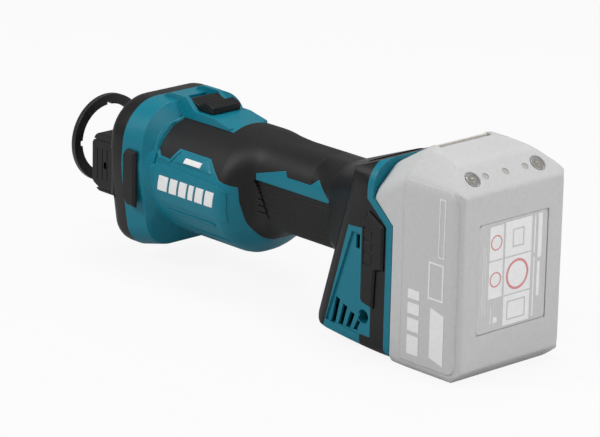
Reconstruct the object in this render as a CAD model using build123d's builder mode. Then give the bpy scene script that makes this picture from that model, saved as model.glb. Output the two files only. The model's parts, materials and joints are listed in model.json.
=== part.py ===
"""Cordless drywall cut-out tool: collet nose, depth guide, motor barrel, handle and slide-on battery."""

import os
from math import cos, pi, radians, sin

from build123d import *

os.makedirs("parts", exist_ok=True)

# Millimetres. x runs back from the mouth of the collet, y to the tool's right and z up.
# The spindle turns on the x axis.

# Driving lengths, from the front to the back of the tool.
nose_front = 14.0
nose_length = 14.0
flange_length = 14.0
barrel_length = 56.0
shoulder_length = 30.0
grip_length = 44.0
rear_length = 60.0

# Casing section sizes.
barrel_radius = 34.0
flange_half_width = 40.0
flange_top = 39.0
flange_bottom = 43.5
flange_waist = 4.0
sweep_length = 5.5
nose_rounding = 7.5
grip_half_width = 20.0
grip_top = 32.0
grip_bottom = 15.4
grip_top_radius = 17.0
grip_bottom_radius = 14.0
waist_share = 0.6
rear_half_width = 37.0
rear_top = 49.5
wall = 2.6
inlay = 1.4
rear_inlay = 1.8

# Battery, whose mating plane ends the tool.
battery_width = 75.0
battery_height = 113.0
battery_depth = 48.0
battery_bottom = -52.8
battery_wall = 2.2
neck_depth = 14.0
neck_corner = 19.7
neck_height = 30.7
rail_depth = 9.0
rail_half_width = 27.5
rail_overhang = 3.5
rail_neck = 4.0
label_depth = 0.9

# Motor and spindle.
spindle_radius = 6.0
nose_thread_radius = 8.6
spindle_nose_radius = 8.0
bearing_radius = 16.0
bearing_width = 10.0
rear_bearing_radius = 11.0
rear_bearing_width = 7.0
stator_radius = 26.0
stator_length = 34.0
rotor_radius = 13.0
air_gap = 0.5
fan_radius = 26.0
fan_width = 8.0

# Collet and depth guide.
shank_radius = 3.175
collet_length = 22.0
nut_flats = 19.0
foot_distance = 28.7
foot_thickness = 2.8
foot_outer_radius = 24.8
foot_inner_radius = 19.2
sleeve_radius = 20.0
sleeve_wall = 2.5
sleeve_length = 28.0
sleeve_front = -4.0

# Clearances.
running = 0.05
sliding = 0.3
fitting = 0.1

# Stations that follow from the lengths.
split_plane = nose_front + nose_length
flange_back = split_plane + flange_length
barrel_back = flange_back + barrel_length
grip_front = barrel_back + shoulder_length
grip_back = grip_front + grip_length
battery_plane = grip_back + rear_length
battery_back = battery_plane + battery_depth
battery_top = battery_bottom + battery_height


def corner_section(x, half_width, top, bottom, top_radius, bottom_radius, inset=0.0):
    """A four-cornered casing section at station x, drawn inset from the outer skin."""
    half, high, low = half_width - inset, top - inset, bottom - inset
    with BuildSketch(Plane.YZ.offset(x)) as section:
        with BuildLine():
            Polyline((-half, -low), (half, -low), (half, high), (-half, high), close=True)
        make_face()
        fillet(section.vertices().group_by(Axis.Y)[0], bottom_radius - inset)
        fillet(section.vertices().group_by(Axis.Y)[-1], top_radius - inset)
    return section.sketch


def flange_section(x, middle, top_half, top, foot_half, bottom, radii, inset=0.0):
    """A six-cornered section at station x, widest just above the axis; radii run foot, side, top."""
    with BuildSketch(Plane.YZ.offset(x)) as section:
        with BuildLine():
            Polyline(
                (-foot_half, -bottom),
                (foot_half, -bottom),
                (middle, flange_waist),
                (top_half, top),
                (-top_half, top),
                (-middle, flange_waist),
                close=True,
            )
        make_face()
        sides = section.vertices().filter_by(lambda v: abs(v.Y - flange_waist) < 0.01)
        fillet(sides, radii[1])
        fillet(section.vertices().group_by(Axis.Y)[0], radii[0])
        fillet(section.vertices().group_by(Axis.Y)[-1], radii[2])
        if inset > 0.01:
            offset(amount=-inset)
    return section.sketch


def flange_front(inset=0.0):
    """Section where the clamshell meets the bearing box."""
    return flange_section(
        split_plane, flange_half_width, 36.5, flange_top, 33, flange_bottom, (17, 60, 24), inset
    )


def nose_section(turn):
    """Section of the bearing box's rounded front edge, after a turn in degrees round the rounding."""
    x = nose_front + nose_rounding * (1 - cos(radians(turn)))
    inset = nose_rounding * (1 - sin(radians(turn)))
    return flange_section(
        x, flange_half_width, 36.5, flange_top, 33, flange_bottom, (17, 60, 24), inset
    )


def flange_rear(inset=0.0):
    """Section at the flange's rear shoulder, before it sweeps in to the barrel."""
    return flange_section(
        flange_back, flange_half_width - 2, 35.5, flange_top, 31.5, flange_bottom - 3, (17, 60, 22), inset
    )


def flange_neck(inset=0.0):
    """Six-cornered section so well rounded that it lies on the barrel."""
    reach = barrel_radius * 1.15
    side = barrel_radius * 0.58
    rounding = (barrel_radius * 0.9,) * 3
    return flange_section(
        flange_back + sweep_length, reach, side, barrel_radius, side, barrel_radius, rounding, inset
    )


def blend(start, end, share):
    """A value eased from start to end, level at both ends."""
    return start + (end - start) * share * share * (3 - 2 * share)


def shoulder_section(share, inset=0.0):
    """The round barrel turning into the slimmer, higher-set grip; its waist narrows before its belly."""
    waist = min(1, share / waist_share)
    return corner_section(
        barrel_back + share * shoulder_length,
        blend(barrel_radius - 0.1, grip_half_width, waist),
        blend(barrel_radius - 0.1, grip_top, share),
        blend(barrel_radius - 0.1, grip_bottom, share),
        blend(barrel_radius - 0.4, grip_top_radius, waist),
        blend(barrel_radius - 0.4, grip_bottom_radius, waist),
        inset,
    )


def grip_section(x, inset=0.0):
    """The handle: a rounded oblong set above the spindle axis."""
    return corner_section(
        x, grip_half_width, grip_top, grip_bottom, grip_top_radius, grip_bottom_radius, inset
    )


def casing(inset=0.0):
    """The casing's outer form: flange, barrel, shoulder, grip and the flared rear with the battery seat."""
    with BuildPart() as form:
        loft([flange_front(inset), flange_rear(inset)], ruled=True)
        loft([flange_rear(inset), flange_neck(inset)], ruled=True)
        with BuildSketch(Plane.YZ.offset(flange_back)):
            Circle(barrel_radius - inset)
        extrude(amount=barrel_length)
        loft([shoulder_section(step / 10, inset) for step in range(11)], ruled=True)
        loft([shoulder_section(1, inset), grip_section(grip_back, inset)], ruled=True)
        loft(
            [
                grip_section(grip_back - 4, inset),
                corner_section(grip_back + 8, 25.5, 36.4, 19, 18, 14, inset),
                corner_section(grip_back + 24, 33, 42, 27, 18, 14, inset),
            ]
        )
        add(rear_block(inset))
    return form.part


def rear_block(inset=0.0):
    """The flared rear: a block leaning back towards the battery, its front corners well rounded."""
    lean = Vector(0.281, 0, 0.96)
    leaning = Plane(origin=(battery_plane - 57, 0, -34.3), x_dir=(lean.Z, 0, -lean.X), z_dir=lean)
    foot = battery_bottom + 1.4
    with BuildPart() as block:
        with BuildSketch(Plane.YZ.offset(battery_plane - 80)) as rear:
            with BuildLine():
                Polyline(
                    (-rear_half_width, foot),
                    (rear_half_width, foot),
                    (rear_half_width, rear_top),
                    (-rear_half_width, rear_top),
                    close=True,
                )
            make_face()
            fillet(rear.vertices().group_by(Axis.Y)[0], 7)
            fillet(rear.vertices().group_by(Axis.Y)[-1], 15)
            if inset:
                offset(amount=-inset)
        extrude(amount=90)
        with BuildSketch(leaning):
            with Locations((60, 0)):
                RectangleRounded(120 - 2 * inset, 2 * (rear_half_width + 0.5 - inset), 13 - inset)
        extrude(amount=110, both=True, mode=Mode.INTERSECT)
        with BuildSketch(Plane.XZ) as side:
            with BuildLine():
                Polyline(
                    (battery_plane - 57.4, -42),
                    (battery_plane - 46, -45.5),
                    (battery_plane, foot),
                    (battery_plane, neck_corner),
                    (battery_plane - neck_depth, neck_height),
                    (battery_plane - neck_depth, rear_top),
                    (battery_plane - 26, 44.9),
                    (battery_plane - 37, 41),
                    (battery_plane - 34, 36),
                    close=True,
                )
            make_face()
            fillet(side.vertices().sort_by(Axis.X)[0], 9)
            if inset:
                offset(amount=-inset, kind=Kind.INTERSECTION)
        extrude(amount=60, both=True, mode=Mode.INTERSECT)
    return block.part


def side_prism(points, side=1, reach=60.0):
    """A prism whose outline is drawn in side view; side 1 lies to the left, -1 to the right, 0 spans both."""
    with BuildPart() as prism:
        with BuildSketch(Plane.XZ):
            with BuildLine():
                Polyline(*points, close=True)
            make_face()
        extrude(amount=reach * (side or 1), both=side == 0)
    return prism.part


def tube(x, length, outer, inner):
    """A ring about the spindle axis that starts at station x."""
    with BuildPart() as ring:
        with BuildSketch(Plane.YZ.offset(x)):
            Circle(outer)
            if inner:
                Circle(inner, mode=Mode.SUBTRACT)
        extrude(amount=length)
    return ring.part


def block(x, y, z):
    """A box given by its low and high limits along each axis."""
    with BuildPart() as brick:
        with Locations(((x[0] + x[1]) / 2, (y[0] + y[1]) / 2, (z[0] + z[1]) / 2)):
            Box(x[1] - x[0], y[1] - y[0], z[1] - z[0])
    return brick.part


def finish(piece, name):
    """Label a piece and write it."""
    piece.part.label = name
    export_step(piece.part, f"parts/{name}.step")


def both_sides(left, left_name, right_name):
    """Write a left-hand piece and its mirror image on the right."""
    finish(left, left_name)
    with BuildPart() as right:
        add(mirror(left.part, about=Plane.XZ))
    finish(right, right_name)


# Sizes that the pieces share.
bore_radius = barrel_radius - wall
sleeve_seat = sleeve_radius + sliding
sleeve_stop = split_plane + 6.3
bearing_front = sleeve_stop + 0.4
bearing_back = bearing_front + bearing_width
fan_front = bearing_back + 1.4
baffle_front = fan_front + fan_width + 0.8
coil_overhang = 3.6
stator_front = baffle_front + 1.6 + coil_overhang
stator_back = stator_front + stator_length
board_front = stator_back + coil_overhang + 0.5
rear_bearing_front = board_front + 2.4
rear_bearing_back = rear_bearing_front + rear_bearing_width
sleeve_rubber = 2.4
channel_depth = rail_depth + rail_neck
channel_floor = battery_plane - channel_depth - 0.5
rail_neck_half_width = rail_half_width - rail_overhang
channel_half_width = rail_half_width + sliding
channel_neck_half_width = rail_neck_half_width + sliding
channel_foot = battery_bottom + 6.8
floor_wall = 2.5
rod_low = max(stator_radius, fan_radius) + 0.7
rod_high = rod_low + 2.2
deck_level = barrel_radius + 1.4
knob_front = split_plane + 19
knob_back = knob_front + 20.5
knob_travel = 6.0
stem_front = knob_front + 13
stem_back = stem_front + 5
guide_back = 10.0
lever_pin_x = nose_front + 1.5
lever_pin_y = 10 - flange_half_width
lever_pin_radius = 1.5
hub_radius = 4.5
lock_x = split_plane - 7
lock_pin_radius = 2.0
lock_button_radius = 7.0
lock_floor = flange_half_width - 12
head_seat = grip_half_width * 0.6
head_radius = 3.4
head_height = 2.6
bite = 9.0
nose_screw_radius = 2.0
nose_head_radius = 3.6
nose_head_seat = nose_front + 5
nose_screw_length = 24.0
screw_radius = 1.9
boss_radius = 5.0
right_screws = [
    (barrel_back + 15, 16),
    (grip_front - 6, 3),
    (grip_back + 6, grip_top - 8),
    (grip_back + 8, -8),
]
left_screws = [(battery_plane - 19, battery_bottom + 20)]
boss_places = right_screws + left_screws
nose_screw_places = [
    (flange_half_width - 14, flange_top - 12),
    (14 - flange_half_width, flange_top - 12),
    (flange_half_width - 18, 10.5 - flange_bottom),
    (18 - flange_half_width, 10.5 - flange_bottom),
]
cover_outline = [
    (battery_plane - 20.5, -25),
    (battery_plane - 20.5, 18.7),
    (battery_plane - 16.1, 23.9),
    (battery_plane - 5, 17.6),
    (battery_plane - 5, -5.5),
    (battery_plane - 10.5, -6.5),
    (battery_plane - 11.5, -27),
]


# Outlines drawn in side view, shared by the pieces that meet along them.
grip_outline = [
    (flange_back + sweep_length + 2.4, 60),
    (flange_back + sweep_length + 2.4, 31.2),
    (flange_back + sweep_length + 0.4, 27.4),
    (flange_back + sweep_length + 0.4, 16.6),
    (flange_back + sweep_length + 3, 13.8),
    (flange_back + 15.9, 13.3),
    (flange_back + 20.4, 19.4),
    (barrel_back - 10.9, 19.3),
    (barrel_back - 0.3, 10.7),
    (barrel_back + 9, 8.1),
    (barrel_back + 9.5, 0),
    (barrel_back + 12, -11),
    (barrel_back + 17, -20),
    (barrel_back + 24, -26),
    (barrel_back + 24, -60),
    (grip_back - 4, -60),
    (grip_back - 4, 10),
    (grip_back - 18, 20),
    (grip_back - 20, 60),
]
arrow_outline = [
    (grip_front - 14.1, 16.4),
    (grip_front + 6.4, 22),
    (grip_front + 8.4, 19),
    (grip_back - 17.8, 19.1),
    (grip_back - 13.1, 22.9),
    (grip_back - 3.1, 13.8),
    (grip_back - 4.9, 12.2),
    (grip_front - 13.7, 12.2),
]
bumper_outline = [
    (split_plane + 1.5, -11.5),
    (split_plane + 4.7, -16),
    (flange_back - 2.5, -16.5),
    (flange_back - 2.5, 14.5),
    (split_plane + 4.2, 14.5),
    (split_plane + 1.5, 11.5),
]
vent_outline = [
    (battery_plane - 31.2, 12.9),
    (battery_plane - 21.5, 13.4),
    (battery_plane - 21.5, -60),
    (battery_plane - 52.2, -60),
]
strip_width = 4.2
strip_outline = [
    (battery_plane + 1, -60),
    (battery_plane + 1, neck_corner),
    (battery_plane - neck_depth + 1, neck_height),
    (battery_plane - neck_depth + 1, 60),
    (battery_plane - neck_depth - strip_width, 60),
    (battery_plane - neck_depth - strip_width, neck_height - 1),
    (battery_plane - strip_width, neck_corner - 2),
    (battery_plane - strip_width, -60),
]
pad_plane = grip_half_width - 0.9
pad_low = -7.5
pad_high = 12.7
deck_half_width = 13.4
deck_back = barrel_back - 13
guard_gap = 10.0
guard_top = deck_level + 6.6
guard_back = knob_front + 10
deck_outline = [
    (split_plane, barrel_radius * 0.8),
    (split_plane, flange_top - 2.2),
    (split_plane + 5.5, guard_top - 1),
    (split_plane + 9, guard_top),
    (knob_front + 2, guard_top),
    (guard_back, deck_level + 0.3),
    (knob_back + 4.5, deck_level),
    (deck_back, barrel_radius - 1.4),
    (deck_back, barrel_radius * 0.8),
]
deck_section = [
    (-deck_half_width, barrel_radius * 0.8),
    (-deck_half_width, barrel_radius - 2.2),
    (-guard_gap - 2.4, guard_top),
    (-guard_gap, guard_top),
    (-guard_gap, deck_level),
    (guard_gap, deck_level),
    (guard_gap, guard_top),
    (guard_gap + 2.4, guard_top),
    (deck_half_width, barrel_radius - 2.2),
    (deck_half_width, barrel_radius * 0.8),
]


def switch_deck():
    """The raised deck on the barrel's top, with a guard wall on each side of the slide knob."""
    with BuildPart() as deck:
        with BuildSketch(Plane.YZ.offset(split_plane)):
            with BuildLine():
                Polyline(*deck_section, close=True)
            make_face()
        extrude(amount=deck_back - split_plane)
        add(side_prism(deck_outline, 0), mode=Mode.INTERSECT)
    return deck.part


def pad_cut(depth):
    """The flat ribbed finger pad's pocket on both sides of the grip, grown all round by a depth."""
    with BuildPart() as pocket:
        with BuildSketch(Plane.XZ) as pad:
            with BuildLine():
                Polyline(
                    (grip_front - 15.4, pad_high),
                    (grip_front - 4.5, pad_low),
                    (grip_back - 4, pad_low),
                    (grip_back - 4, pad_high),
                    close=True,
                )
            make_face()
            if depth:
                offset(amount=depth, kind=Kind.INTERSECTION)
        extrude(amount=60, both=True)
        add(block((0, 400), (depth - pad_plane, pad_plane - depth), (-80, 80)), mode=Mode.SUBTRACT)
    return pocket.part


def left_only():
    """Everything on the tool's left of its middle plane."""
    return block((-100, 400), (-80, 0), (-120, 120))


outer_form = casing() - pad_cut(0)
boss_inset = rear_inlay + 0.3
boss_form = casing(boss_inset) - pad_cut(boss_inset)
hollow_form = casing(wall) - pad_cut(wall)
grip_skin = (outer_form - (casing(inlay) - pad_cut(inlay))) & left_only()
rear_skin = (outer_form - (casing(rear_inlay) - pad_cut(rear_inlay))) & left_only()

# Soft-grip overmould: a skin let into the shell on the barrel's shoulders, the neck and the handle.
with BuildPart() as grip_blank:
    add(grip_skin)
    add(side_prism(grip_outline), mode=Mode.INTERSECT)
    add(side_prism(arrow_outline), mode=Mode.SUBTRACT)
    add(block((0, barrel_back - 10), (-deck_half_width, 20), (0, 60)), mode=Mode.SUBTRACT)

with BuildPart() as grip_left:
    add(grip_blank.part)
    rib_pitch = (pad_high - pad_low) / 6
    for rib in range(1, 6):
        z = pad_low + rib * rib_pitch
        groove = (z - 0.35, z + 0.35)
        add(
            block((grip_front - 14, grip_back - 6), (-pad_plane - 1, 0.5 - pad_plane), groove),
            mode=Mode.SUBTRACT,
        )
finish(grip_left, "grip_left")

# Hard rear cover: the black collar, front rim and heel around the vent panel.
rear_cover_region = [
    (grip_back - 20, 60),
    (grip_back - 18, 20),
    (grip_back - 4, 10),
    (grip_back - 4, -60),
    (battery_plane, -60),
    (battery_plane, 60),
]
side_band = block((0, 400), (-80, 8 - rear_half_width), (-60, 60))
with BuildPart() as rear_cover_left:
    add(rear_skin)
    add(side_prism(rear_cover_region), mode=Mode.INTERSECT)
    add(side_prism(arrow_outline), mode=Mode.SUBTRACT)
    add(side_prism(strip_outline), mode=Mode.SUBTRACT)
    add(side_prism(vent_outline) & side_band, mode=Mode.SUBTRACT)
    add(side_prism(cover_outline), mode=Mode.SUBTRACT)
    add(
        block((battery_plane - 22, battery_plane - 14), (-80, 8 - rear_half_width), (-42.5, -24)),
        mode=Mode.SUBTRACT,
    )
finish(rear_cover_left, "rear_cover_left")


# Clamshell half: the outer form less the inlaid skins, hollowed for the motor and for the electrics.
deck = switch_deck()
with BuildPart() as shell:
    add(outer_form)
    add(deck)
    add(left_only(), mode=Mode.INTERSECT)
    add(grip_blank.part, mode=Mode.SUBTRACT)
    add(rear_cover_left.part, mode=Mode.SUBTRACT)
    # Motor bore, then the hollow of the handle and the rear.
    add(tube(split_plane - 1, barrel_back - split_plane, bore_radius, 0), mode=Mode.SUBTRACT)
    add(
        hollow_form & block((barrel_back - 3, channel_floor - floor_wall), (-80, 80), (-120, 120)),
        mode=Mode.SUBTRACT,
    )
    # Battery channel: the wide slot behind, and the throat that its lips leave.
    channel_z = (channel_foot, 80)
    add(
        block(
            (channel_floor, battery_plane - rail_neck + sliding),
            (-channel_half_width, channel_half_width),
            channel_z,
        ),
        mode=Mode.SUBTRACT,
    )
    add(
        block(
            (channel_floor, battery_plane + 5),
            (-channel_neck_half_width, channel_neck_half_width),
            channel_z,
        ),
        mode=Mode.SUBTRACT,
    )
    # Window in the channel floor for the terminal block.
    add(block((channel_floor - 9, battery_plane), (-19, 19), (-26, 4)), mode=Mode.SUBTRACT)
    # Ribs that carry the stator, and the web that carries the rear bearing.
    for x in (stator_front + 1, stator_back - 5):
        add(tube(x, 4, bore_radius + 0.5, stator_radius + fitting) & left_only())
    web = boss_form & block((rear_bearing_front + 1, rear_bearing_front + 5), (-80, 0), (-80, 80))
    add(web)
    seat = rear_bearing_radius + sleeve_rubber
    add(tube(rear_bearing_front, rear_bearing_width, seat + 3, 0) & left_only())
    add(tube(rear_bearing_front - 5, 20, seat + fitting, 0), mode=Mode.SUBTRACT)
    add(block((barrel_back - 30, grip_front), (-4, 4), (rod_low - 0.6, rod_high + 0.4)), mode=Mode.SUBTRACT)
    add(block((board_front, barrel_back + 14), (-7, 7), (-25, -16)), mode=Mode.SUBTRACT)
    # Bosses for the casing screws.
    for x, z in boss_places:
        with BuildPart(mode=Mode.PRIVATE) as boss:
            with BuildSketch(Plane.XZ):
                with Locations((x, z)):
                    Circle(boss_radius)
            extrude(amount=60)
        add(boss.part & boss_form)
    for y, z in nose_screw_places:
        with BuildPart(mode=Mode.PRIVATE) as pilot:
            with BuildSketch(Plane.YZ.offset(split_plane)):
                with Locations((y, z)):
                    Circle(nose_screw_radius)
            extrude(amount=nose_head_seat + nose_screw_length - split_plane)
        add(pilot.part, mode=Mode.SUBTRACT)
    # Trough that the knob slides forward in, between the guards.
    trough = (knob_front - knob_travel - 2, knob_front + 5)
    add(block(trough, (-guard_gap, guard_gap), (deck_level, 60)), mode=Mode.SUBTRACT)
    # Slot for the switch stem.
    stem_slot = (stem_front - knob_travel - 1, stem_back + 1)
    add(block(stem_slot, (-3.5, 3.5), (20, deck_level + 1)), mode=Mode.SUBTRACT)
    # Flank bumper recess.
    bumper_room = block((0, 400), (-60, 1.6 - flange_half_width), (-80, 80))
    add(side_prism(bumper_outline) & bumper_room, mode=Mode.SUBTRACT)
    # Vent panel: a sunk field with one upright slot and four slanted ones.
    panel_plane = rear_half_width - 1.1
    field = [
        (battery_plane - 28.6, 10.2),
        (battery_plane - 22.6, 10.2),
        (battery_plane - 22.6, -43.5),
        (battery_plane - 46.5, -41),
    ]
    add(side_prism(field) & block((0, 400), (-60, -panel_plane), (-80, 80)), mode=Mode.SUBTRACT)
    add(block((battery_plane - 26.4, battery_plane - 23.8), (-60, 0), (1.6, 9)), mode=Mode.SUBTRACT)
    for row in range(4):
        x = battery_plane - 43.6 + 5.4 * row
        slot = [
            (x + 3.6, -27.5 - 2.6 * row),
            (x + 6.6, -28.4 - 2.6 * row),
            (x + 3.4, -42),
            (x + 0.4, -41.6),
        ]
        add(side_prism(slot) & block((0, 400), (-80, -25), (-80, 80)), mode=Mode.SUBTRACT)
    # Seat for the filter cover.
    cover_seat = 2.2
    add(
        side_prism(cover_outline) & block((0, 400), (-60, cover_seat - rear_half_width), (-80, 80)),
        mode=Mode.SUBTRACT,
    )


# Casing screws: one enters from the left beside the filter cover, the others from the right.
def screw_holes(places, side):
    """Clearance holes with sunk head seats for screws that enter from a side, 1 left and -1 right."""
    with BuildPart() as holes:
        for x, z in places:
            with BuildSketch(Plane.XZ):
                with Locations((x, z)):
                    Circle(screw_radius + fitting)
            extrude(amount=60 * side)
            with BuildSketch(Plane.XZ.offset(head_seat * side)):
                with Locations((x, z)):
                    Circle(head_radius + sliding)
            extrude(amount=60 * side)
    return holes.part


def pilot_holes(places, side):
    """Blind holes that the screws bite in, in the half away from their heads."""
    with BuildPart() as holes:
        for x, z in places:
            with BuildSketch(Plane.XZ):
                with Locations((x, z)):
                    Circle(screw_radius)
            extrude(amount=bite * side)
    return holes.part


right_entry = screw_holes(right_screws, -1)

with BuildPart() as housing_left:
    add(shell.part)
    add(screw_holes(left_screws, 1), mode=Mode.SUBTRACT)
    add(pilot_holes(right_screws, 1), mode=Mode.SUBTRACT)
finish(housing_left, "housing_left")

with BuildPart() as housing_right:
    add(mirror(shell.part, about=Plane.XZ))
    add(right_entry, mode=Mode.SUBTRACT)
    add(pilot_holes(left_screws, -1), mode=Mode.SUBTRACT)
finish(housing_right, "housing_right")

with BuildPart() as grip_right:
    add(mirror(grip_left.part, about=Plane.XZ))
    add(right_entry, mode=Mode.SUBTRACT)
finish(grip_right, "grip_right")

with BuildPart() as rear_cover_right:
    add(mirror(rear_cover_left.part, about=Plane.XZ))
    add(right_entry, mode=Mode.SUBTRACT)
finish(rear_cover_right, "rear_cover_right")

with BuildPart() as housing_screws:
    for place in boss_places:
        side = 1 if place in left_screws else -1
        with BuildSketch(Plane.XZ.offset(-bite * side)):
            with Locations(place):
                Circle(screw_radius)
        extrude(amount=(bite + head_seat) * side)
        with BuildSketch(Plane.XZ.offset(head_seat * side)):
            with Locations(place):
                Circle(head_radius)
        extrude(amount=head_height * side)
        with BuildSketch(Plane.XZ.offset((head_seat + head_height - 1.6) * side)):
            with Locations(place):
                RegularPolygon(1.5, 6)
        extrude(amount=1.6 * side, mode=Mode.SUBTRACT)
finish(housing_screws, "housing_screws")


# Bearing box: the black nose, spigoted into the barrel, with the sleeve's bore and the bearing's pocket.
def nose_screw_pattern(radius, low, high):
    """Cylinders along the tool at the four nose screws."""
    with BuildPart() as rods:
        with BuildSketch(Plane.YZ.offset(low)):
            with Locations(*nose_screw_places):
                Circle(radius)
        extrude(amount=high - low)
    return rods.part


lever_low = -16.0
lever_high = 11.0
side_block_front = -4.0
with BuildPart() as bearing_box:
    loft([nose_section(step * 90 / 6) for step in range(7)], ruled=True)
    loft([nose_section(90), flange_front()], ruled=True)
    # Side block that carries the cam lever.
    with BuildSketch(Plane.XZ.offset(18)) as cheek:
        with BuildLine():
            Polyline(
                (side_block_front, lever_low - 1.6),
                (split_plane - 4, lever_low - 1.6),
                (split_plane - 4, lever_high + 4.2),
                (side_block_front, lever_high + 4.2),
                close=True,
            )
        make_face()
        fillet(cheek.vertices().group_by(Axis.X)[0], 6)
    extrude(amount=14)
    add(tube(split_plane, bearing_back - split_plane, bore_radius - fitting, 0))
    # Air passages between the bearing's pocket and the spigot's wall.
    spigot = bore_radius - fitting
    with BuildSketch(Plane.YZ.offset(nose_front + 3)):
        with PolarLocations((bearing_radius + spigot) / 2, 8, start_angle=22.5):
            Circle((spigot - bearing_radius) / 2 - 3.2)
    extrude(amount=bearing_back - nose_front, mode=Mode.SUBTRACT)
    add(tube(nose_front - 30, sleeve_stop - nose_front + 30, sleeve_seat, 0), mode=Mode.SUBTRACT)
    add(tube(sleeve_stop - 1, 20, bearing_radius - 3, 0), mode=Mode.SUBTRACT)
    add(tube(bearing_front, bearing_width + 1, bearing_radius + fitting, 0), mode=Mode.SUBTRACT)
    # Exhaust slots below the nose.
    for row in range(-1, 2):
        slot_y = (11 * row - 3, 11 * row + 3)
        add(block((nose_front + 3, split_plane - 2), slot_y, (-60, -sleeve_seat)), mode=Mode.SUBTRACT)
    # Pocket for the cam lever and its hub.
    lever_slot = (lever_low - sliding, lever_high + sliding)
    add(
        block((side_block_front - 10, lever_pin_x), (-60, lever_pin_y + 2.8), lever_slot),
        mode=Mode.SUBTRACT,
    )
    reach = hub_radius + sliding
    add(
        block((lever_pin_x - reach, lever_pin_x + reach), (-60, lever_pin_y), lever_slot),
        mode=Mode.SUBTRACT,
    )
    with BuildSketch(Plane.XY.offset(lever_slot[0])):
        with Locations((lever_pin_x, lever_pin_y)):
            Circle(reach)
    extrude(amount=lever_slot[1] - lever_slot[0], mode=Mode.SUBTRACT)
    with BuildSketch(Plane.XY.offset(lever_low - 1.6)):
        with Locations((lever_pin_x, lever_pin_y)):
            Circle(lever_pin_radius)
    extrude(amount=60, mode=Mode.SUBTRACT)
    # Spindle lock: stepped bore on the right.
    with BuildSketch(Plane.XZ):
        with Locations((lock_x, 0)):
            Circle(lock_pin_radius + sliding)
    extrude(amount=-60, mode=Mode.SUBTRACT)
    with BuildSketch(Plane.XZ.offset(-lock_floor)):
        with Locations((lock_x, 0)):
            Circle(lock_button_radius + sliding)
    extrude(amount=-60, mode=Mode.SUBTRACT)
    add(nose_screw_pattern(nose_screw_radius + fitting, nose_front - 1, split_plane + 1), mode=Mode.SUBTRACT)
    add(nose_screw_pattern(nose_head_radius + sliding, nose_front - 10, nose_head_seat), mode=Mode.SUBTRACT)
finish(bearing_box, "bearing_box")

with BuildPart() as nose_screws:
    add(nose_screw_pattern(nose_screw_radius, nose_head_seat, nose_head_seat + nose_screw_length))
    add(nose_screw_pattern(nose_head_radius, nose_head_seat - 3, nose_head_seat))
    with BuildSketch(Plane.YZ.offset(nose_head_seat - 3)):
        for y, z in nose_screw_places:
            with Locations((y, z)):
                Rectangle(4.4, 1.1)
                Rectangle(1.1, 4.4)
    extrude(amount=1.6, mode=Mode.SUBTRACT)
finish(nose_screws, "nose_screws")

# Flank bumpers: chamfered rubber pads on the flange.
with BuildPart() as bumper_left:
    with BuildSketch(Plane.XZ.offset(flange_half_width - 1.6)):
        with BuildLine():
            Polyline(*bumper_outline, close=True)
        make_face()
    extrude(amount=2.5)
    outer_edges = bumper_left.faces().sort_by(Axis.Y)[0].edges()
    chamfer(outer_edges, 1.3)
both_sides(bumper_left, "flank_bumper_left", "flank_bumper_right")

# Depth guide: the notched foot ring, bent from one strip with its arm, on a sleeve that slides in the nose.
foot_front = -foot_distance - foot_thickness
arm_outer = sleeve_radius - sleeve_wall
arm_inner = arm_outer - 2.4
with BuildPart() as guide_rivets:
    rivet_direction = Vector(0, 1, -1).normalized()
    for x in (sleeve_front + 5, sleeve_front + 14):
        start = Vector(x, 0, 0) + rivet_direction * (arm_inner - 1.6)
        with BuildSketch(Plane(origin=start, z_dir=rivet_direction)):
            Circle(1.8)
        extrude(amount=sleeve_radius - 0.4 - arm_inner + 1.6)
finish(guide_rivets, "guide_rivets")

with BuildPart() as guide_foot:
    add(tube(foot_front, foot_thickness, foot_outer_radius, foot_inner_radius))
    for turn in range(4):
        with BuildSketch(Plane.YZ.offset(foot_front)):
            with PolarLocations(foot_inner_radius, 1, start_angle=90 * turn):
                Rectangle(2.6, 3)
        extrude(amount=foot_thickness, mode=Mode.SUBTRACT)
    with BuildSketch(Plane.YZ.offset(foot_front)):
        with PolarLocations((arm_inner + foot_inner_radius + 2) / 2, 1, start_angle=-45):
            Rectangle(foot_inner_radius + 2 - arm_inner, 10)
    extrude(amount=foot_thickness)
    with BuildSketch(Plane.YZ.offset(foot_front)):
        with PolarLocations((arm_inner + arm_outer) / 2 - 0.8, 1, start_angle=-45):
            Rectangle(2.4, 10)
    extrude(amount=sleeve_front + 20 - foot_front)
    add(guide_rivets.part, mode=Mode.SUBTRACT)
finish(guide_foot, "guide_foot")

with BuildPart() as guide_sleeve:
    add(tube(sleeve_front, sleeve_length, sleeve_radius, arm_outer))
    # Seat for the arm, and the slot that lets the spindle-lock pin through at every setting.
    with BuildSketch(Plane.YZ.offset(sleeve_front)):
        with PolarLocations((arm_inner + arm_outer) / 2 - 0.8, 1, start_angle=-45):
            Rectangle(2.4, 10)
    extrude(amount=20, mode=Mode.SUBTRACT)
    slot_front = lock_x - guide_back - lock_pin_radius - 2
    add(block((slot_front, 60), (0, 30), (-4, 4)), mode=Mode.SUBTRACT)
    add(guide_rivets.part, mode=Mode.SUBTRACT)
finish(guide_sleeve, "guide_sleeve")

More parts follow.
